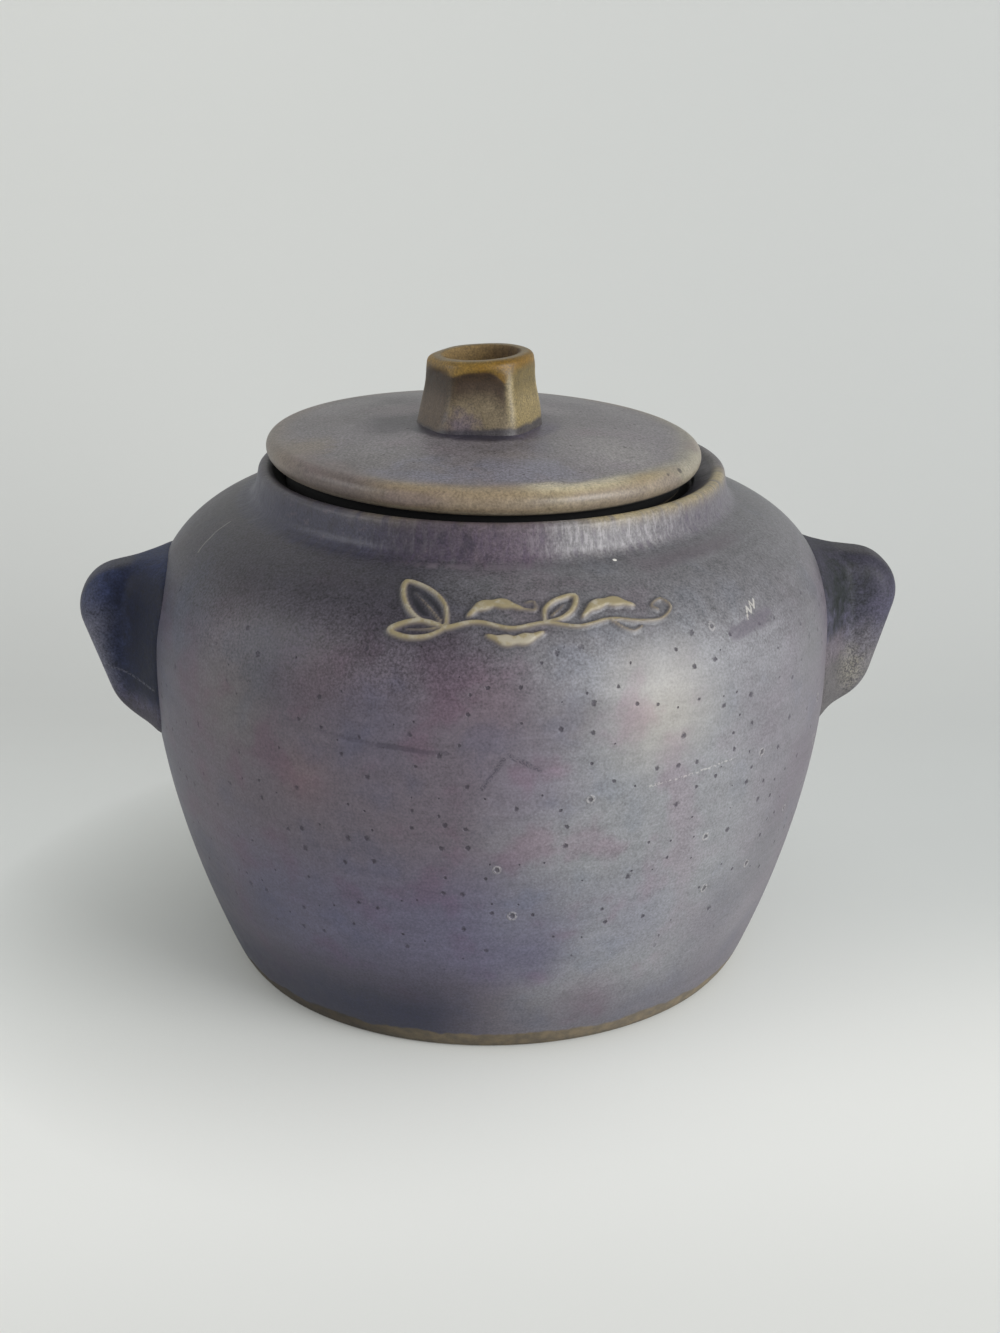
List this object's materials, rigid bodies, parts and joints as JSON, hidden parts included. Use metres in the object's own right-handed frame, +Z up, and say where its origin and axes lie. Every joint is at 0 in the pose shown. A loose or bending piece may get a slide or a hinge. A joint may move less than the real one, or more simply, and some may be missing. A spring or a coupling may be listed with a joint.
{
  "type": "lidded bean pot",
  "caption": "Round-bellied stoneware bean pot with two side lug handles and a loose flat lid with a hollow six-sided knob.",
  "frame": {"origin": "centre of the foot, on the surface the pot stands on", "axes": "+Z up; the two lug handles lie along X; the front of the pot faces -Y"},
  "size_m": [0.2304, 0.19, 0.1731],
  "materials": {
    "pot_glaze": "satin plum-grey stoneware glaze, bare clay foot",
    "lug_glaze": "satin blue-grey stoneware glaze",
    "lid_glaze": "satin mauve-grey glaze breaking tan on the edge",
    "knob_glaze": "satin olive-tan glaze, bare clay inside the bowl"
  },
  "bodies": {
    "pot": {"pot_body": "pot_glaze", "left_lug_handle": "lug_glaze", "right_lug_handle": "lug_glaze"},
    "lid": {"lid_disc": "lid_glaze", "lid_knob": "knob_glaze"}
  },
  "joints": [
    {"name": "lid_lift", "type": "slide", "parent": "pot", "child": "lid", "axis": [0, 0, 1], "range_m": [0, 0.15]}
  ]
}
